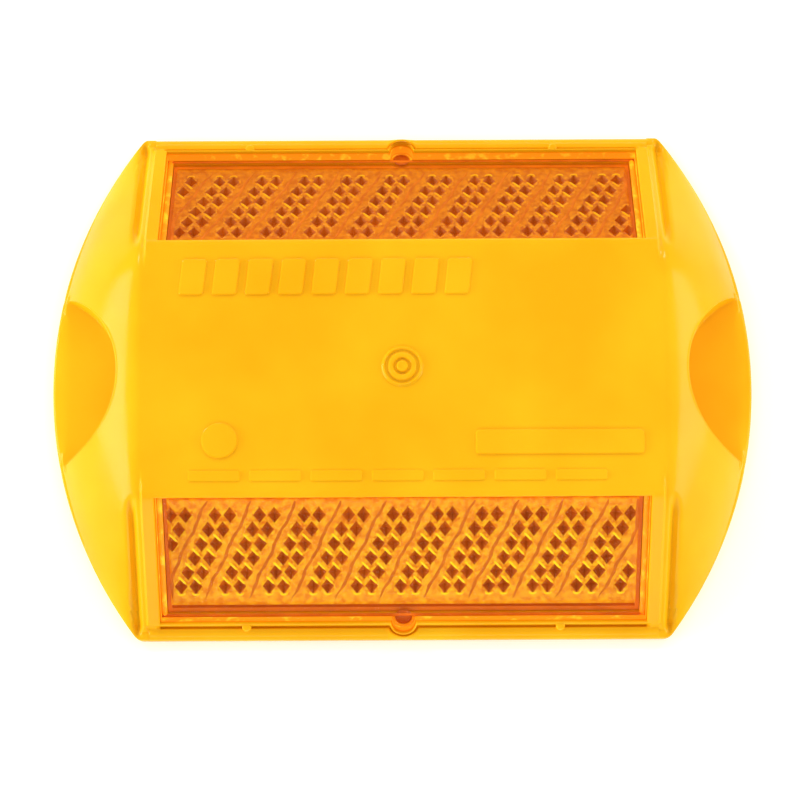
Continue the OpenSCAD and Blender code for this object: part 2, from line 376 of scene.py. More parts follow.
def bodyHalf():
    # the front half of the top: rows go out from the middle line and down the front,
    # columns go across; each point is (row profile) joined to (end profile) at the shoulder
    d = bodyDetail
    sn, cs = arcSteps(4)
    r = d["seatFillet"]
    ring = np.array([(-r + r * a, -r + r * b) for a, b in zip(sn, cs)]
                    + [(0, -d["ledgeDepth"]), (d["ledgeWidth"], -d["ledgeDepth"]),
                       (d["ledgeWidth"], -d["trayDepth"])])
    nRing = len(ring)
    depth = np.concatenate([[0], ring[:, 1], [-d["trayDepth"]]])

    # columns of the middle, from x = 0 outwards
    inner = np.concatenate([np.arange(0, 3.5, 0.1), np.linspace(3.6, seatHalf - 2.2, 16)])
    seatCols = seatHalf - ring[::-1, 0]
    midX = np.concatenate([inner, seatCols, np.linspace(seatHalf + 0.6, sideX, 3)])
    midRing = np.concatenate([np.full(len(inner), nRing + 1), np.arange(nRing, 0, -1), np.zeros(3, int)])

    # rows: each has a straight distance from the middle line, a kind and a tab radius
    gripRows = 14.9 * np.sin(np.linspace(0, math.pi / 2, 44))
    edgeRows = flatHalf - np.array([5.8, 4.6, 3.2, 2.0, 1.2, 0.8, 0.55, 0.3, 0.1, -0.02])
    flatRows = np.concatenate([gripRows, edgeRows])
    sTop = seatTop + ring[:, 0]
    sMid = np.linspace(seatTop + 2.4, seatEnd - 2.8, 10)
    lowRing = np.where(ring[:, 0] >= d["ledgeWidth"], d["sillWidth"], ring[:, 0])
    sLow = (seatEnd - lowRing)[::-1]
    sRows = np.concatenate([sTop, sMid, sLow])
    sRing = np.concatenate([np.arange(1, nRing + 1), np.full(len(sMid), nRing + 1), np.arange(nRing, 0, -1)])
    sTab = np.concatenate([np.zeros(len(sTop) + len(sMid)), np.zeros(2),
                           (d["notchRadius"] - ring[:-2, 0])[::-1]])

    x = midX[None, :]
    half = []
    for y in flatRows:
        half.append(np.stack([midX, np.full_like(midX, -y), facePlane(np.full_like(midX, y))], -1))
    for s, k, tab in zip(sRows, sRing, sTab):
        bulge = np.sqrt(np.maximum(tab ** 2 - midX ** 2, 0))
        sx = np.where(bulge > 0, np.maximum(s, seatEnd + bulge), s)
        row = onFace(midX, sx, depth[np.minimum(midRing, k)])
        row[:, 2] -= crestDrop(flatHalf + s * cosS)
        half.append(row)
    # lip rows: a narrow bar follows the seat's lower edge, then a step drops to the lip
    rimY = flatHalf + (seatEnd + d["rimBar"]) * cosS
    tabY = flatHalf + seatEnd * cosS
    inside = np.clip((seatHalf + 0.4 - midX) / 0.4, 0, 1)
    rowY = list(flatRows) + list(flatHalf + sRows * cosS)
    # rows: distance out, share of the drop from the bar to the lip, swelling round the tab
    for y, share, radius in [(rimY - 0.02, 0.0, 2.16), (rimY + 0.10, 0.05, 2.20), (rimY + 0.17, 0.3, 2.23),
                             (rimY + 0.20, 1.4, 2.26), (rimY + 0.32, 1.5, 2.36), (rimY + 0.46, 1.4, 2.48),
                             (rimY + 0.54, 1.08, 2.56), (rimY + 0.68, 1.0, 2.75)]:
        bulge = np.sqrt(np.maximum(radius ** 2 - midX ** 2, 0)) * cosS
        yx = np.where(bulge > 0, np.maximum(y, tabY + bulge), y)
        high = facePlane(np.minimum(yx, rimY + 0.12)) - 0.15 * np.maximum(yx - rimY, 0)
        cheekZ = facePlane(y) + (d["lipLevel"] - facePlane(y)) * smooth((y - rimY + 0.5) / 1.5)
        z = cheekZ + (high + (d["lipLevel"] - high) * share - cheekZ) * inside
        half.append(np.stack([midX, -yx, z], -1))
        rowY.append(y)
    crest = half[-1]
    crestY = rowY[-1]
    for a in np.radians([14, 28, 42, 56, 68, 79, 90]):
        y = -crest[:, 1] + (halfDeep + crest[:, 1]) * math.sin(a)
        z = d["lipFoot"] + (crest[:, 2] - d["lipFoot"]) * math.cos(a)
        half.append(np.stack([midX, -y, z], -1))
        rowY.append(crestY + (halfDeep - crestY) * math.sin(a))
    for y, z in [(halfDeep, 0.2), (halfDeep - d["footInset"], 0.0)]:
        half.append(np.stack([midX, np.full_like(midX, -y), np.full_like(midX, z)], -1))
        rowY.append(y)
    middle = np.array(half)
    rowY = np.array(rowY)
    nRows = len(rowY)

    # columns of the curved end
    y = rowY[:, None]
    out = outlineX(np.minimum(rowY, halfDeep))[:, None]
    out[-1] -= d["footInset"]
    circle = shape["gripInner"] + shape["gripRadius"] \
        - np.sqrt(np.maximum(shape["gripRadius"] ** 2 - y ** 2, 0))
    wall = np.minimum(np.where(y < shape["gripRadius"], circle, 1e3), shoulderX + (out - shoulderX) * 0.93)
    floorOut = shape["edgeHeight"] + shape["gripLip"]

    def floorZ(x):
        t = (x - shape["gripInner"]) / (halfWide - shape["gripInner"])
        return shape["gripFloor"] + (floorOut - shape["gripFloor"]) * t

    high = np.maximum(endZ(wall, y) - floorZ(wall), 0)
    high = np.where(y < shape["gripRadius"], high, 0)
    rTop = np.minimum(d["gripFillet"], high * 0.45)
    rFoot = np.minimum(d["gripFoot"], high * 0.45)
    cols, heights = [], []
    edgeSurface = middle[:, -1, 2][:, None]
    for t in (0.25, 0.5, 0.75, 1.0):
        cx = sideX + (shoulderX - sideX) * t + 0 * y
        cols.append(cx)
        heights.append(edgeSurface + (endZ(cx, y) - edgeSurface) * smooth(t))
    # fine columns across the valley beside the shoulder, squeezed where the end is narrow
    room = wall - rTop - shoulderX
    squeeze = np.minimum(1, room / 6)
    for off in (0.35, 0.65, 0.9, 1.1, 1.3, 1.5, 1.7, 1.9, 2.15, 2.5, 3.0):
        cols.append(shoulderX + off * squeeze)
        heights.append(endZ(cols[-1], y))
    for t in np.linspace(0, 1, 15)[1:]:
        cx = shoulderX + 3.0 * squeeze + (room - 3.0 * squeeze) * t
        cols.append(cx)
        heights.append(endZ(cx, y))
    topRef = endZ(wall - rTop, y)
    for a in np.radians([22, 45, 67, 90]):
        cols.append(wall - rTop + rTop * math.sin(a))
        heights.append(np.where(high > 0, topRef - rTop * (1 - math.cos(a)), endZ(wall, y)))
    for a in np.radians([0, 22, 45, 67, 90]):
        cx = wall + rFoot * (1 - math.cos(a))
        cols.append(cx)
        heights.append(np.where(high > 0, floorZ(wall) + rFoot * (1 - math.sin(a)), endZ(cx, y)))
    edge = np.minimum(d["edgeRound"], (out - wall - rFoot) * 0.5)
    inGrip = y < shape["gripRadius"]
    for t in np.linspace(0, 1, 9)[1:]:
        cx = wall + rFoot + (out - edge - wall - rFoot) * t
        cols.append(cx)
        heights.append(np.where(inGrip, np.minimum(floorZ(cx), endZ(cx, y)), endZ(cx, y)))
    rimZ = heights[-1]
    for a in np.radians([25, 50, 72, 90]):
        cols.append(out - edge + edge * math.sin(a))
        heights.append(rimZ - np.minimum(0.9, rimZ * 0.4) * (1 - math.cos(a)))
    foot = np.full((nRows, 1), d["footInset"])
    foot[-1] = 0   # the last row is drawn in already
    cols += [out, out - foot]
    heights += [0 * y + 0.2, 0 * y]
    endX, endHigh = np.hstack(cols), np.hstack(heights)
    # the foot of the front edge caps the end's height as it caps the lip's
    cap = np.full(nRows, 1e3)
    cap[-9:-2] = d["lipFoot"] + 1.25 * np.sqrt(np.maximum(0, 1 - np.linspace(0.1, 1, 7) ** 2.2))
    cap[-2:] = [0.2, 0.0]
    blend = np.clip((endX - sideX) / 0.3, 0, 1)
    endHigh = np.where(blend > 0, np.minimum(endHigh, cap[:, None]), endHigh)
    ends = np.stack([endX, -np.repeat(y, endX.shape[1], 1), endHigh], -1)
    right = np.concatenate([middle, ends], 1)
    left = (right * [-1, 1, 1])[:, :0:-1]
    return np.concatenate([left, right], 1)


pocket = {
    "pitch": 11.6, "rib": 2.0, "skin": 3.2, "corner": 0.8, "mouth": 0.3, "draft": 0.25,
    "cornerPlace": (2.9, 21.0), "cornerHalf": (3.0, 5.0), "cornerRoof": 6.8,
}


def pocketRoof(x, y):
    # ceiling of the hollows underneath, following the lens seats from below
    back = flatHalf + (seatTop + bodyDetail["ledgeWidth"]) * cosS - bodyDetail["trayDepth"] * sinS - 1.4
    backZ = topZ - (seatTop + bodyDetail["ledgeWidth"]) * sinS - bodyDetail["trayDepth"] * cosS - 1.2
    flat = topZ - pocket["skin"]
    a = np.abs(y)
    ramp = np.clip((a - back + 1.5) / 1.5, 0, 1)
    z = np.where(a < back, flat - (flat - backZ) * ramp, backZ - (a - back) * tanS)
    return np.where(np.abs(x) > sideX, pocket["cornerRoof"], z)


def pocketShells():
    # each hollow: a rounded rectangle carried up from its mouth, drawn in a little, and closed by its roof
    p = pocket["pitch"] - pocket["rib"]
    gx, gy = np.meshgrid(np.arange(-3, 4), np.arange(-2, 3))
    centre = np.stack([gx.ravel(), gy.ravel()], -1) * pocket["pitch"]
    size = np.full_like(centre, p / 2, dtype=float)
    sx, sy = np.meshgrid([-1, 1], [-1, 1])
    beside, along = pocket["cornerPlace"]
    corner = np.stack([sx.ravel() * (sideX + beside), sy.ravel() * along], -1)
    centre = np.concatenate([centre, corner])
    size = np.concatenate([size, np.tile(pocket["cornerHalf"], (4, 1))])
    angle = np.linspace(0, 2 * math.pi, 33)[:-1] + math.pi / 32
    way = np.stack([np.cos(angle), np.sin(angle)], -1)
    r = pocket["corner"]
    path = (size[:, None] - r) * np.sign(way)[None] + r * way[None]
    # steps up the wall: how far drawn in, share of the height, and a lift in millimetres
    mouth, drawn = pocket["mouth"], pocket["mouth"] + pocket["draft"]
    steps = [(0.0, 0, 0.0), (0.12, 0, 0.25), (mouth, 0, 0.6),
             (drawn, 1, -0.5), (drawn + 0.2, 1, -0.12), (drawn + 0.7, 1, 0.0)]
    loops = []
    for inset, share, lift in steps:
        xy = centre[:, None] + path * ((size - inset) / size)[:, None]
        z = share * pocketRoof(xy[..., 0], xy[..., 1]) + lift
        loops.append(np.concatenate([xy, z[..., None]], -1))
    points = np.stack(loops, 1)
    n, m = points.shape[1], points.shape[2]
    faces = [gridFaces(n, m, k * n * m, True) for k in range(len(points))]
    roofs = [np.arange((k + 1) * n * m - m, (k + 1) * n * m).tolist() for k in range(len(points))]
    return points.reshape(-1, 3), np.concatenate(faces), roofs


def makeBody():
    half = bodyHalf()
    rows, cols = half.shape[:2]
    top = half.reshape(-1, 3)
    rear = top * [-1, -1, 1]
    faces = gridFaces(rows, cols)
    pocketPoints, pocketFaces, roofs = pocketShells()
    start = 2 * len(top)
    points = np.concatenate([top, rear, pocketPoints])
    every = faces.tolist() + (faces + len(top)).tolist() + (pocketFaces + start).tolist()
    every += [[i + start for i in r] for r in roofs]
    mesh = bpy.data.meshes.new("markerBody")
    mesh.from_pydata((points * mm).tolist(), [], every)
    work = bmesh.new()
    work.from_mesh(mesh)
    bmesh.ops.remove_doubles(work, verts=work.verts, dist=2e-6)
    bmesh.ops.dissolve_degenerate(work, edges=work.edges, dist=1e-7)
    rim = [e for e in work.edges if e.is_boundary]
    print("open edges before the underside:", len(rim))
    bmesh.ops.triangle_fill(work, use_beauty=True, use_dissolve=False, edges=rim, normal=(0, 0, -1))
    turnOut(work)
    print("open edges left:", sum(e.is_boundary for e in work.edges), "faces", len(work.faces))
    work.to_mesh(mesh)
    work.free()
    mesh.materials.append(body)
    mesh.shade_smooth()
    mesh.set_sharp_from_angle(angle=math.radians(32))
    obj = bpy.data.objects.new("markerBody", mesh)
    bpy.context.collection.objects.link(obj)
    return obj


markerBody = makeBody()
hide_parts("body")
print("body made")


def pad(outline, base, height, bevel):
    # a raised flat shape: the outline drawn in over a rounded edge, and closed on top and below
    outline = np.asarray(outline, float)
    centre = outline.mean(0)
    span = np.abs(outline - centre).max(0)
    loops = []
    for inset, z in [(-0.12, -0.15), (-0.12, 0.0), (-0.02, 0.04), (0.02, height - bevel),
                     (bevel * 0.4, height - bevel * 0.25), (bevel, height), (bevel + 0.2, height)]:
        xy = centre + (outline - centre) * (1 - inset / span)
        loops.append(np.column_stack([xy, np.full(len(xy), base + z)]))
    points = np.array(loops)
    n, m = points.shape[:2]
    faces = gridFaces(n, m, 0, True).tolist()
    return points.reshape(-1, 3), faces + [list(range(m))[::-1], list(range((n - 1) * m, n * m))]


def roundedBar(x, y, width, length, lean, radius, count=6):
    # corner arcs of a leaning bar, walked round once
    a = np.linspace(0, math.pi / 2, count)
    corners = [(width - radius, length - radius, 0), (radius, length - radius, 1),
               (radius, radius, 2), (width - radius, radius, 3)]
    pts = []
    for cx, cy, quarter in corners:
        way = a + quarter * math.pi / 2
        pts.append(np.column_stack([cx + radius * np.cos(way), cy + radius * np.sin(way)]))
    pts = np.concatenate(pts)
    pts[:, 0] += lean * pts[:, 1] / length
    return pts + [x, y]


def turned(profile, count=64, centre=(0, 0)):
    # a profile of (radius, height) turned about a vertical axis
    profile = np.asarray(profile, float)
    a = np.linspace(0, 2 * math.pi, count + 1)[:-1]
    r, z = profile[:, :1], profile[:, 1:]
    return np.stack([centre[0] + r * np.cos(a), centre[1] + r * np.sin(a), z + 0 * a], -1)


marks = {
    "height": 0.35, "bevel": 0.12,
    "bars": {"count": 9, "pitch": 5.5, "first": (-37, 12.2), "size": (4, 6), "lean": 0.7, "corner": 0.5},
    "plate": {"at": (12, -14.7), "size": (27.5, 4), "corner": 0.6},
    "disc": {"at": (-30, -12.3), "radius": 2.9},
    "dashes": {"count": 7, "pitch": 10.0, "first": (-35, -19), "size": (8.4, 1.7), "corner": 0.35,
               "height": 0.21, "bevel": 0.08},
}


def makeMarks():
    # leaning bars, a blank plate, a disc and a line of dashes, each a low pad on the flat top
    height, bevel = marks["height"], marks["bevel"]
    bars, blank, disc, dashes = (marks[k] for k in ("bars", "plate", "disc", "dashes"))
    shells = []
    for i in range(bars["count"]):
        x, y = bars["first"]
        outline = roundedBar(x + i * bars["pitch"], y, *bars["size"], bars["lean"], bars["corner"])
        shells.append(pad(outline, topZ, height, bevel))
    shells.append(pad(roundedBar(*blank["at"], *blank["size"], 0, blank["corner"]), topZ, height, bevel))
    a = np.linspace(0, 2 * math.pi, 49)[:-1]
    x, y = disc["at"]
    outline = np.column_stack([x + disc["radius"] * np.cos(a), y + disc["radius"] * np.sin(a)])
    shells.append(pad(outline, topZ, height, bevel))
    for i in range(dashes["count"]):
        x, y = dashes["first"]
        outline = roundedBar(x + i * dashes["pitch"], y, *dashes["size"], 0, dashes["corner"])
        shells.append(pad(outline, topZ, dashes["height"], dashes["bevel"]))
    points, faces, start = [], [], 0
    for p, f in shells:
        points.append(p)
        faces += [[i + start for i in face] for face in f]
        start += len(p)
    return meshObject("raisedMarks", np.concatenate(points), faces, [body])


# radius and height of the boss, from the nub in the middle outwards over two grooves
boss = [
    (0.0, 0.46), (0.4, 0.48), (0.66, 0.56), (0.78, 0.57), (0.87, 0.5), (0.92, 0.3), (0.97, 0.06),
    (1.04, 0.02), (1.32, 0.02), (1.4, 0.08), (1.47, 0.3), (1.58, 0.4), (1.8, 0.42), (2.12, 0.42),
    (2.26, 0.37), (2.33, 0.22), (2.38, 0.05), (2.46, 0.01), (2.78, 0.01), (2.86, 0.08), (2.94, 0.28),
    (3.04, 0.36), (3.14, 0.34), (3.24, 0.2), (3.36, 0.05), (3.46, 0.0), (3.5, -0.15), (0, -0.15),
]


def makeBoss():
    grid = turned([(r, topZ + z) for r, z in boss], 96)
    n, m = grid.shape[:2]
    return meshObject("gateBoss", grid.reshape(-1, 3), gridFaces(n, m, 0, True), [body], sharpAngle=60)


nibs = {"across": 26.2, "out": 0.35, "drop": 0.1}


def makeNibs():
    # round pips beside the bar of each lip, a turned profile at four places
    points, faces, start = [], [], 0
    barY = flatHalf + (seatEnd + bodyDetail["rimBar"]) * cosS
    y = barY + nibs["out"]
    z = float(facePlane(y - nibs["out"])) - nibs["drop"]
    profile = [(0.0, z), (0.45, z), (0.64, z - 0.06), (0.74, z - 0.2), (0.8, z - 1.6), (0.0, z - 1.6)]
    for side in (-1, 1):
        for x in (-nibs["across"], nibs["across"]):
            grid = turned(profile, 32, (x, side * y))
            n, m = grid.shape[:2]
            points.append(grid.reshape(-1, 3))
            faces += gridFaces(n, m, start, True).tolist()
            start += n * m
    return meshObject("lipNibs", np.concatenate(points), faces, [body], sharpAngle=50)


raised = [makeMarks(), makeBoss(), makeNibs()]
print("marks, boss and nibs made")


lens = {
    "length": 23.2, "tabRadius": 1.95, "bevel": 0.14,
    "pitch": 2.44, "rows": 6, "rowPitch": 2.66, "firstRow": 4.6, "firstX": 3.26, "pitHalf": 38.4,
    "sheetTop": 1.55, "sheetEnd": 21.35, "sheetHalf": 38.75, "sheetThick": 0.3, "sheetDrop": 0.05,
    "diamondWide": 1.08, "diamondHigh": 1.48, "rimDepth": 0.1, "pitDepth": 1.1, "pitShift": 0.2,
    "firstGlintRow": 2, "glintLevels": (-0.12, 0.04), "ribWide": 0.62,
}


def lensOutline(inset):
    # rectangle with the half-round gate tab on its lower edge, walked round once
    h, top = lensHigh[0] - inset, seatTop + shape["seatGap"] + inset
    low = seatTop + shape["seatGap"] + lens["length"] - inset
    r = lens["tabRadius"] - inset
    a = np.linspace(math.asin(min(1, inset / r)), math.pi - math.asin(min(1, inset / r)), 25)
    tab = np.column_stack([r * np.cos(a), low + inset + r * np.sin(a)])
    across = np.linspace(-h, h, 17)
    upper = np.column_stack([across, np.full(17, top)])
    down = np.linspace(top, low, 9)[1:-1]
    rightSide = np.column_stack([np.full(7, h), down])
    lowRight = np.column_stack([np.linspace(h, r + 0.3, 8), np.full(8, low)])
    lowLeft = np.column_stack([np.linspace(-r - 0.3, -h, 8), np.full(8, low)])
    leftSide = np.column_stack([np.full(7, -h), down[::-1]])
    return np.concatenate([upper, rightSide, lowRight, tab, lowLeft, leftSide])


def makePlate(name, rear):
    # clear block: the outline carried from the back to the face over two small bevels
    b = lens["bevel"]
    face = -shape["reveal"]
    loops = []
    for inset, d in [(b * 0.3 + 0.4, lensBack), (b * 0.3, lensBack), (0, lensBack + b), (0, face - b),
                     (b * 0.3, face - b * 0.3), (b, face), (b + 0.3, face)]:
        o = lensOutline(inset)
        loops.append(onFace(o[:, 0], o[:, 1], d, rear))
    points = np.array(loops)
    n, m = points.shape[:2]
    faces = gridFaces(n, m, 0, True).tolist() + [list(range(m))[::-1], list(range((n - 1) * m, n * m))]
    wall = np.zeros(len(faces), int)
    wall[m:3 * m] = 1
    return meshObject(name, points.reshape(-1, 3), faces, [acrylic, ambers["plateWall"]], wall)


def cellCentres():
    # offset rows of cells; two of every three are sunk, the third is plain
    p, q = lens["pitch"], lens["rowPitch"]
    j = np.arange(-3, 9)[:, None]
    m = np.arange(-26, 27)[None, :]
    cx = (lens["firstX"] + m * p - j * p / 2).ravel()
    cs = (lens["firstRow"] + j * q + 0 * m).ravel()
    row = (j + 0 * m).ravel()
    inside = ((m + 0 * j) % 3 != 0).ravel() & (np.abs(cx) < lens["pitHalf"])
    return cx, cs, row, inside


def makePrisms(name, rear):
    # each cell is a hexagon, a diamond inside it and, where it is sunk, a deep corner;
    # the sheet is cut square at its four sides
    p, q = lens["pitch"], lens["rowPitch"]
    cx, cs, row, inside = cellCentres()
    sunk = inside & (row >= 0) & (row < lens["rows"])
    w, h = lens["diamondWide"], lens["diamondHigh"]
    hexX, hexS = np.array([0, 0.5, 0.5, 0, -0.5, -0.5]) * p, np.array([-2, -1, 1, 2, 1, -1]) / 3 * q
    diaX, diaS = np.array([0, w, 0, -w]), np.array([-h, 0, h, 0])
    x = np.column_stack([cx[:, None] + hexX, cx[:, None] + diaX, cx])
    s = np.column_stack([cs[:, None] + hexS, cs[:, None] + diaS, cs + lens["pitShift"]])
    d = np.zeros_like(x)
    d[:, 6:10] = np.where(sunk, -lens["rimDepth"], 0)[:, None]
    d[:, 10] = np.where(sunk, -lens["pitDepth"], 0)
    points = onFace(x, s, d + lensBack - lens["sheetDrop"], rear).reshape(-1, 3)
    # tones: 0 sunk facet, dark as painted reflection of the dark surroundings, 1 lattice, 2 plain band
    cell = [((0, 1, 7, 6), 1), ((1, 2, 7), 1), ((2, 3, 8, 7), 1), ((3, 4, 9, 8), 1), ((4, 5, 9), 1),
            ((5, 0, 6, 9), 1), ((6, 7, 10), 0), ((7, 8, 10), 0), ((8, 9, 10), 0), ((9, 6, 10), 0)]
    base = np.arange(len(cx)) * 11
    faces, tones = [], []
    for corners, tone in cell:
        faces += (base[:, None] + np.array(corners[::-1])).tolist()
        tones += np.where(sunk, tone, 2).tolist()
    half, top, end = lens["sheetHalf"], lens["sheetTop"], lens["sheetEnd"]
    down = onFace(0, 1, 0, rear) - onFace(0, 0, 0, rear)
    turn = -1 if rear else 1
    cuts = [(onFace(half, 0, 0, rear), (turn, 0, 0)), (onFace(-half, 0, 0, rear), (-turn, 0, 0)),
            (onFace(0, top, 0, rear), -down), (onFace(0, end, 0, rear), down)]
    side = "rear" if rear else "front"
    looks = [ambers[side + kind] for kind in ("Pit", "Lattice", "Band")]
    sheet = meshObject(name, points, faces, looks, tones, sharpAngle=10, closed=False, cuts=cuts)
    thick = sheet.modifiers.new("thickness", "SOLIDIFY")
    thick.thickness = lens["sheetThick"] * mm
    thick.offset = -1
    return sheet


def makePaintedGlints(name, rear):
    # painted glints: bright strips along the upper right edge of the sunk diamonds, from the third row down,
    # and short cups below the last row, standing for light the prisms send back; each outline lies round a
    # cell's middle and makes a low closed block
    cx, cs, row, inside = cellCentres()
    keep = inside & (row >= lens["firstGlintRow"]) & (row < lens["rows"])
    last = inside & (row == lens["rows"] - 1)
    strip = np.array([(-0.42, -1.66), (-0.36, -1.96), (-0.02, -1.80),
                      (0.86, -0.72), (0.84, -0.44), (0.52, -0.62)])
    cup = np.array([(-0.62, 1.02), (-0.30, 1.38), (0.40, 1.36), (0.72, 0.98), (0.62, 1.46), (0.16, 1.72),
                    (-0.24, 1.72), (-0.62, 1.50)])
    points, faces, start = [], [], 0
    for outline, at in ((strip, keep), (cup, last)):
        n = len(outline)
        x = cx[at][:, None] + outline[:, 0]
        s = cs[at][:, None] + outline[:, 1]
        both = np.stack([onFace(x, s, lensBack - lens["sheetDrop"] + lift, rear)
                         for lift in lens["glintLevels"]], 1)
        points.append(both.reshape(-1, 3))
        i = np.arange(n)
        sides = np.stack([i, (i + 1) % n, (i + 1) % n + n, i + n], -1)
        for k in range(len(x)):
            base = start + 2 * n * k
            faces += (sides + base).tolist() + [(i[::-1] + base).tolist(), (i + n + base).tolist()]
        start += 2 * n * len(x)
    return meshObject(name, np.concatenate(points), faces, [ambers["rearPaintedGlint" if rear else "frontPaintedGlint"]])


def makeRibs(name, rear):
    # tops of the slanted walls behind the lens: narrow rounded strips that wander a little down the face
    p, q = lens["pitch"], lens["rowPitch"]
    k = np.arange(-6, 9)
    t = np.linspace(0, 1, 28)
    s = 2.0 + t * (lens["sheetEnd"] - 3.0)
    centre = lens["firstX"] + 3 * k[:, None] * p - (s - lens["firstRow"]) / q * p / 2
    centre = centre + 0.16 * np.sin(s * 0.9 + k[:, None]) + 0.07 * np.sin(s * 2.3 + 2 * k[:, None])
    edge = lens["sheetHalf"] - 0.25
    centre = np.clip(centre[(np.abs(centre) < edge).mean(1) > 0.3], -edge, edge)
    a = np.linspace(0, 2 * math.pi, 9)[:-1]
    width = lens["ribWide"] / 2 * (0.75 + 0.35 * np.sin(s * 1.7) ** 2 + 0.9 * np.exp(-(t / 0.04) ** 2))
    width = width * np.minimum(1, 8 * np.minimum(t + 0.03, 1 - t + 0.01))
    x = centre[:, :, None] + width[None, :, None] * np.cos(a)
    d = lensBack - lens["sheetDrop"] + 0.0 * x + 0.04 * np.sin(a)
    points = onFace(x, np.broadcast_to(s[None, :, None], x.shape), d, rear)
    n, m = len(t), len(a)
    faces, caps = [], []
    for c in range(len(centre)):
        faces += gridFaces(n, m, c * n * m, True).tolist()
        caps += [list(range(c * n * m, c * n * m + m)), list(range((c + 1) * n * m - m, (c + 1) * n * m))]
    return meshObject(name, points.reshape(-1, 3), faces + caps, [ambers["ribAmber"]], sharpAngle=70)


def boxRing(half, top, low, width, dLow, dHigh, rear):
    # a rectangular ring between two levels: outer and inner loops carried round
    loops = []
    for inset, d in [(0, dLow), (0, dHigh), (width, dHigh), (width, dLow), (0, dLow)]:
        h, t, l = half - inset, top + inset, low - inset
        ring = np.array([(-h, t), (h, t), (h, l), (-h, l)])
        loops.append(onFace(ring[:, 0], ring[:, 1], d, rear))
    points = np.array(loops)
    return points.reshape(-1, 3), gridFaces(5, 4, 0, True)


tray = {"clearance": 0.1, "rim": 0.7, "rimDrop": 0.7, "floorThick": 0.65, "floorInset": (0.002, 0.1)}


def makeTray(name, rear):
    # a ring and a floor slab, two closed shells; the slab is a little smaller, so that they share no corner
    d = bodyDetail
    half = seatHalf - d["ledgeWidth"] - tray["clearance"]
    top = seatTop + d["ledgeWidth"] + tray["clearance"]
    low = seatEnd - d["sillWidth"] - tray["clearance"]
    floor = -d["trayDepth"]
    rimPoints, rimFaces = boxRing(half, top, low, tray["rim"], floor, lensBack - tray["rimDrop"], rear)
    across, down = tray["floorInset"]
    half = half * (1 - across)
    slab = np.array([(-half, top + down), (half, top + down), (half, low - down), (-half, low - down)])
    slabPoints = np.concatenate([onFace(slab[:, 0], slab[:, 1], level, rear)
                                 for level in (floor, floor + tray["floorThick"])])
    points = np.concatenate([rimPoints, slabPoints])
    n = len(rimPoints)
    faces = rimFaces.tolist() + [[n, n + 1, n + 2, n + 3], [n + 4, n + 5, n + 6, n + 7]]
    faces += [[n + i, n + (i + 1) % 4, n + 4 + (i + 1) % 4, n + 4 + i] for i in range(4)]
    return meshObject(name, points, faces, [ambers["trayPlastic"]], sharpAngle=30)


weld = {
    "half": 40.4, "top": 0.6, "low": 23.72, "width": 0.98, "sillWidth": 0.66, "step": 0.3,
    "drop": 0.17, "halfHigh": 0.10, "swellings": 70, "blob": 0.22, "blobHigh": 0.05, "seed": 7,
}


def makeBead(name, rear):
    # melted seam: a low rounded strip carried round the flange, swelling and thinning at random
    rng = np.random.default_rng(weld["seed"] + (5 if rear else 0))
    half, top, low = weld["half"], weld["top"], weld["low"]
    across, down = np.arange(-half, half, weld["step"]), np.arange(top, low, weld["step"])
    path = np.concatenate([
        np.column_stack([across, np.full(len(across), top)]),
        np.column_stack([np.full(len(down), half), down]),
        np.column_stack([-across, np.full(len(across), low)]),
        np.column_stack([np.full(len(down), -half), -down + top + low]),
    ])
    n = len(path)
    centre = path * 0
    centre[:, 0] = -np.sign(path[:, 0]) * (np.abs(path[:, 0]) > half - 0.01)
    centre[:, 1] = np.where(path[:, 1] <= top + 0.01, 1, np.where(path[:, 1] >= low - 0.01, -1, 0))
    swell = np.zeros(n)
    for at in rng.integers(0, n, weld["swellings"]):
        gap = np.minimum(np.abs(np.arange(n) - at), n - np.abs(np.arange(n) - at))
        swell = np.maximum(swell, rng.uniform(0.4, 1.0) * np.exp(-(gap / rng.uniform(1.2, 3.0)) ** 2))
    a = np.linspace(0, 2 * math.pi, 9)[:-1]
    onSill = path[:, 1:] >= low - 0.01
    mid = np.where(onSill, weld["sillWidth"], weld["width"]) / 2
    side = mid + (mid * 0.8 + 0.25 * weld["blob"] * swell[:, None]) * np.cos(a)
    lift = lensBack - weld["drop"] + (weld["halfHigh"] + weld["blobHigh"] * swell[:, None]) * np.sin(a)
    x = path[:, :1] + centre[:, :1] * side
    s = path[:, 1:] + centre[:, 1:] * side
    points = onFace(x, s, lift, rear)
    j, i = np.arange(n)[:, None], np.arange(8)[None, :]
    ring = np.stack([j * 8 + i, j * 8 + (i + 1) % 8, (j + 1) % n * 8 + (i + 1) % 8, (j + 1) % n * 8 + i], -1)
    # the stretch of bead on the sill takes the darker gutter tone: painted shade
    tone = np.repeat(onSill.ravel().astype(int), 8)
    looks = [ambers["weldAmber"], ambers["gutterAmber"]]
    return meshObject(name, points.reshape(-1, 3), ring.reshape(-1, 4), looks, tone, sharpAngle=60)


gateTab = {
    "ringOuter": 1.9, "ringInner": 1.5, "ringDrop": 0.16, "ringHalfHigh": 0.12,
    "pipRadius": 1.38, "pipDrop": 0.13,
}


def makeTabRing(name, rear):
    # half ring of weld round the gate tab: a flattened circle carried along a half circle
    a = np.linspace(0, math.pi, 33)[:, None]
    b = np.linspace(0, 2 * math.pi, 13)[None, :-1]
    mid = (gateTab["ringOuter"] + gateTab["ringInner"]) / 2
    r = mid + (gateTab["ringOuter"] - gateTab["ringInner"]) / 2 * np.cos(b)
    d = lensBack - gateTab["ringDrop"] + gateTab["ringHalfHigh"] * np.sin(b) + 0 * a
    points = onFace(r * np.cos(a), seatEnd + r * np.sin(a), d, rear)
    n, m = points.shape[:2]
    faces = gridFaces(n, m, 0, True).tolist() + [list(range(m)), list(range((n - 1) * m, n * m))]
    return meshObject(name, points.reshape(-1, 3), faces, [ambers["weldAmber"]], sharpAngle=60)


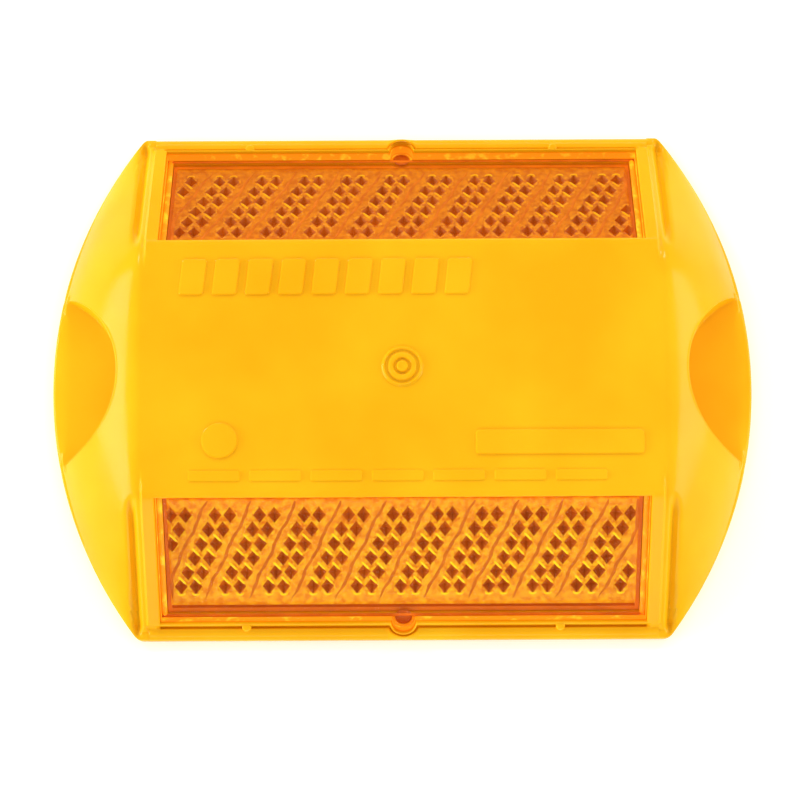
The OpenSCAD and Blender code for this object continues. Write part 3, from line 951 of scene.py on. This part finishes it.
def makeTabPip(name, rear):
    # stub left where the lens was filled: a low dished button behind the tab;
    # each point of its profile is a share of the radius, and a height in millimetres
    r = gateTab["pipRadius"]
    profile = np.array([(0, -0.04), (0.5, -0.03), (0.7, 0.0), (0.85, 0.03),
                        (0.95, 0.0), (1.0, -0.08), (0.97, -0.2), (0, -0.2)])
    a = np.linspace(0, 2 * math.pi, 49)[None, :-1]
    radius, lift = r * profile[:, :1], profile[:, 1:]
    d = lensBack - gateTab["pipDrop"] + lift + 0 * a
    points = onFace(radius * np.cos(a), seatEnd + radius * np.sin(a), d, rear)
    n, m = points.shape[:2]
    faces = gridFaces(n, m, 0, True)
    return meshObject(name, points.reshape(-1, 3), faces, [ambers["frontPit"]], sharpAngle=50)


lensPieces = []
for side, rear in (("front", False), ("rear", True)):
    platePiece = makePlate(side + "LensPlate", rear)
    prisms = makePrisms(side + "LensPrisms", rear)
    trayPiece = makeTray(side + "CellTray", rear)
    ribs = makeRibs(side + "CellRibs", rear)
    bead = makeBead(side + "WeldBead", rear)
    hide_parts(side + "_lens")
    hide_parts(side + "_cell_frame")
    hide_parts(side + "_weld_bead")
    lensPieces += [(platePiece, "lens_acrylic"), (prisms, "lens_acrylic"),
                   (trayPiece, "frame_plastic"), (ribs, "frame_plastic"), (bead, "weld_acrylic"),
                   (makePaintedGlints(side + "LensPaintedGlints", rear), "lens_acrylic"),
                   (makeTabRing(side + "TabRing", rear), "weld_acrylic"),
                   (makeTabPip(side + "TabPip", rear), "lens_acrylic")]
print("lenses made")

for piece in [markerBody] + raised:
    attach(piece, "root")
for piece, slotName in lensPieces:
    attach(piece, "root")


studio = {
    "elevation": 79.0, "roll": 0.28, "distance": 0.42, "fill": 0.8675, "shiftX": -0.0030, "shiftY": -0.0168,
    "world": 0.53, "floorHalf": 6.0, "floorColour": (0.97, 0.97, 0.97, 1), "floorGlow": 0.19,
    "lampColour": (1.0, 0.94, 0.78),
    # name: place, size, power
    "lamps": {
        "boxLeft": ((-1.2, -0.1, 0.27), (1.0, 0.35), 11.6),
        "boxRight": ((1.2, -0.1, 0.27), (1.0, 0.35), 6.7),
        "boxFront": ((0.0, -1.1, 0.62), (1.2, 0.35), 5.0),
        "boxBack": ((0.0, 1.1, 0.62), (1.2, 0.35), 5.6),
        "glintLeft": ((-0.62, 0.55, 0.62), (0.1, 0.1), 1.6),
        "glintRight": ((0.62, 0.60, 0.66), (0.1, 0.1), 1.6),
    },
}


def makeFloor():
    mesh = bpy.data.meshes.new("studioFloor")
    h = studio["floorHalf"]
    mesh.from_pydata([(-h, -h, 0), (h, -h, 0), (h, h, 0), (-h, h, 0)], [], [(0, 1, 2, 3)])
    floor = bpy.data.objects.new("studioFloor", mesh)
    bpy.context.collection.objects.link(floor)
    material, nodes, links, shader = newMaterial("paleFloor")
    shader.inputs["Base Color"].default_value = studio["floorColour"]
    shader.inputs["Roughness"].default_value = 0.9
    shader.inputs["Specular IOR Level"].default_value = 0.1
    shader.inputs["Emission Color"].default_value = (1, 1, 1, 1)
    shader.inputs["Emission Strength"].default_value = studio["floorGlow"]
    mesh.materials.append(material)


def areaLight(name, place, aim, size, power, colour):
    data = bpy.data.lights.new(name, "AREA")
    data.shape, data.size, data.size_y = "RECTANGLE", size[0], size[1]
    data.energy, data.color = power, colour
    lamp = bpy.data.objects.new(name, data)
    bpy.context.collection.objects.link(lamp)
    lamp.location = place
    lamp.rotation_euler = (Vector(aim) - Vector(place)).to_track_quat("-Z", "Y").to_euler()


def makeCamera():
    data = bpy.data.cameras.new("studioCamera")
    camera = bpy.data.objects.new("studioCamera", data)
    bpy.context.collection.objects.link(camera)
    e = math.radians(studio["elevation"])
    back = Vector((0, -math.cos(e), math.sin(e)))
    distance = studio["distance"]
    camera.location = back * distance
    aim = (-back).to_track_quat("-Z", "Y")
    camera.rotation_euler = (aim @ Quaternion((0, 0, 1), -math.radians(studio["roll"]))).to_euler()
    data.sensor_width = 36.0
    wide = (cadHigh[0] - cadLow[0]) / studio["fill"]
    data.lens = data.sensor_width * distance / wide
    data.shift_x, data.shift_y = studio["shiftX"], studio["shiftY"]
    bpy.context.scene.camera = camera


makeFloor()
for name, (place, size, power) in studio["lamps"].items():
    areaLight(name, place, (0, 0, 0), size, power, studio["lampColour"])
world = bpy.data.worlds.new("studioWorld")
world.use_nodes = True
world.node_tree.nodes["Background"].inputs["Color"].default_value = (1, 1, 1, 1)
world.node_tree.nodes["Background"].inputs["Strength"].default_value = studio["world"]
bpy.context.scene.world = world
bpy.context.scene.view_settings.view_transform = "Standard"
makeCamera()
print("stage made")
